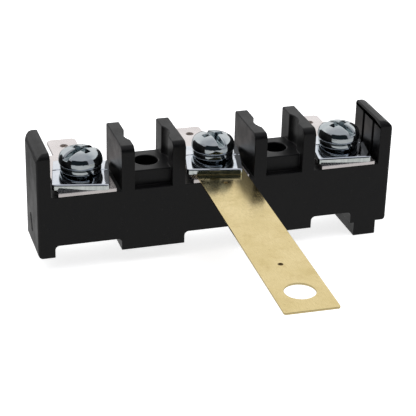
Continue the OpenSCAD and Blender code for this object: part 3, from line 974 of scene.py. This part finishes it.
# %% Thread tree: grid
COLUMNS, ROWS = 49, 161
thread_tree, size = new_tree(
    "threaded_screw",
    {
        "Head": "Geometry",
        "Outer Radius": "Float",
        "Pitch": "Float",
        "Thread Depth": "Float",
        "Length": "Float",
        "Tip Chamfer": "Float",
        "Run Out": "Float",
        "Turn": "Float",
        "Station": "Vector",
        "Finish": "Material",
    },
    "Screw",
)
sheet = node(
    thread_tree,
    "GeometryNodeMeshGrid",
    {"Size X": 1.0, "Size Y": 1.0, "Vertices X": COLUMNS, "Vertices Y": ROWS},
)
place = node(thread_tree, "GeometryNodeInputPosition").outputs[0]
point = node(thread_tree, "ShaderNodeSeparateXYZ", {0: place}).outputs
around = calc(thread_tree, "ADD", point["X"], 0.5)
along = calc(thread_tree, "ADD", point["Y"], 0.5)
print("screw inputs:", [socket.name for socket in size if socket.name])

# %% Thread tree: ridges
# Share of the grid that closes each end, and the reach of the open rows between
END_ROWS, OPEN_ROWS = 0.0075, 0.499
# In pitches from the top of a ridge: where its flat ends and where the groove's flat starts
CREST, ROOT = 0.07, 0.43
# Share of the run-out that stays bare, before the thread starts
BARE = 0.4
below = calc(thread_tree, "MULTIPLY", ramp(thread_tree, along, END_ROWS, 1 - END_ROWS), size["Length"])
turns = calc(thread_tree, "DIVIDE", below, size["Pitch"])
phase = calc(thread_tree, "FRACT", calc(thread_tree, "ADD", turns, around))
ridge = ramp(thread_tree, calc(thread_tree, "PINGPONG", phase, 0.5), CREST, ROOT)
start = ramp(thread_tree, calc(thread_tree, "DIVIDE", below, size["Run Out"]), BARE, 1.0)
groove = calc(thread_tree, "MULTIPLY", calc(thread_tree, "MULTIPLY", ridge, start), size["Thread Depth"])
bare = calc(thread_tree, "SUBTRACT", size["Outer Radius"], groove)
left_over = calc(thread_tree, "SUBTRACT", size["Length"], below)
tip_radius = calc(thread_tree, "SUBTRACT", size["Outer Radius"], size["Tip Chamfer"])
cone = calc(thread_tree, "ADD", tip_radius, left_over)
open_rows = calc(thread_tree, "LESS_THAN", calc(thread_tree, "ABSOLUTE", point["Y"]), OPEN_ROWS)
radius = calc(thread_tree, "MULTIPLY", calc(thread_tree, "MINIMUM", bare, cone), open_rows)
print("nodes up to the radius:", len(thread_tree.nodes))

# %% Thread tree: tube
# The shank starts a little inside the head, in mm
INSIDE_HEAD = 0.2
SAME_POINT_M = 0.000001
angle = calc(thread_tree, "MULTIPLY", around, 2 * math.pi)
rolled = node(
    thread_tree,
    "ShaderNodeCombineXYZ",
    {
        "X": calc(thread_tree, "MULTIPLY", radius, calc(thread_tree, "COSINE", angle)),
        "Y": calc(thread_tree, "MULTIPLY", radius, calc(thread_tree, "SINE", angle)),
        "Z": calc(thread_tree, "SUBTRACT", INSIDE_HEAD * MM, below),
    },
)
tube = node(
    thread_tree, "GeometryNodeSetPosition", {"Geometry": sheet.outputs[0], "Position": rolled.outputs[0]}
)
shank = node(
    thread_tree, "GeometryNodeMergeByDistance", {"Geometry": tube.outputs[0], "Distance": SAME_POINT_M}
)
whole = node(thread_tree, "GeometryNodeJoinGeometry")
for part in (size["Head"], shank.outputs[0]):
    thread_tree.links.new(part, whole.inputs[0])
smooth = node(thread_tree, "GeometryNodeSetShadeSmooth", {"Geometry": whole.outputs[0]})
end_tree(thread_tree, smooth.outputs[0], size)
print("screw tree nodes:", len(thread_tree.nodes))

# %% Screws
# Turn of each slot in degrees, sizes in mm
SLOT_TURN = {"left": 31, "centre": -80, "right": -67}
SHANK_R, SHANK_L, PITCH, THREAD_DEPTH, TIP_CHAMFER, RUN_OUT = 2.4, 11.1, 0.79375, 0.46, 0.7, 1.6
for side in SIDES:
    low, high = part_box(f"terminal_screw_{side}")
    screw = grown(
        thread_tree,
        f"pan_head_screw_{side}",
        head_mesh(),
        {
            "Outer Radius": SHANK_R * MM,
            "Pitch": PITCH * MM,
            "Thread Depth": THREAD_DEPTH * MM,
            "Length": (SHANK_L + INSIDE_HEAD) * MM,
            "Tip Chamfer": TIP_CHAMFER * MM,
            "Run Out": RUN_OUT * MM,
            "Turn": math.radians(SLOT_TURN[side]),
            "Station": ((low.x + high.x) / 2, (low.y + high.y) / 2, high.z - HEAD_H * MM),
            "Finish": bright_zinc,
        },
    )
    belongs(screw, f"screw_{side}", "zinc_hardware", f"terminal_screw_{side}")
